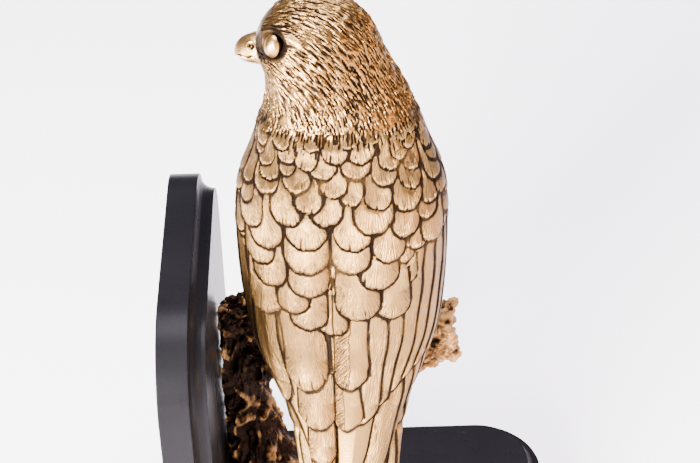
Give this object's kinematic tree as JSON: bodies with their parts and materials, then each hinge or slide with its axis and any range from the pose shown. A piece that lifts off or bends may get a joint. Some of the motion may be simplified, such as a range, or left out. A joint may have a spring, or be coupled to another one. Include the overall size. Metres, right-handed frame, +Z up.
{
  "type": "falcon bookend statuette",
  "caption": "Antique-bronze falcon with its head turned, perched on a gnarled branch and fixed to an L-shaped black bookend stand with moulded edges.",
  "frame": {"origin": "on the table, under the middle of the stand's length and depth (centre of the bottom of the bounding box)", "axes": "+X from the book face along the stand, +Y the way the bird's breast faces, +Z up"},
  "size_m": [0.126, 0.11, 0.222],
  "materials": {
    "lacquered_board": "satin black lacquer",
    "antique_bronze": "antique gold patina, rubbed highlights",
    "dark_bronze": "dark patina with rubbed highlights",
    "steel": "plain",
    "beech": "bare",
    "felt": "pressed felt"
  },
  "bodies": {
    "root": {"upright_board": "lacquered_board", "base_board": "lacquered_board", "board_dowels": "beech", "board_screws": "steel", "screw_plugs": "lacquered_board", "felt_pads": "felt", "stump": "dark_bronze", "stump_screws": "steel", "stump_washers": "steel", "torso": "antique_bronze", "head": "antique_bronze", "beak": "antique_bronze", "neck_pins": "steel", "eye_left": "antique_bronze", "eye_right": "antique_bronze", "wing_left": "antique_bronze", "wing_right": "antique_bronze", "wing_pins": "steel", "tail": "antique_bronze", "tail_pins": "steel", "leg_left": "antique_bronze", "leg_right": "antique_bronze", "foot_left": "antique_bronze", "foot_right": "antique_bronze", "leg_studs": "steel", "leg_nuts": "steel"}
  },
  "joints": []
}
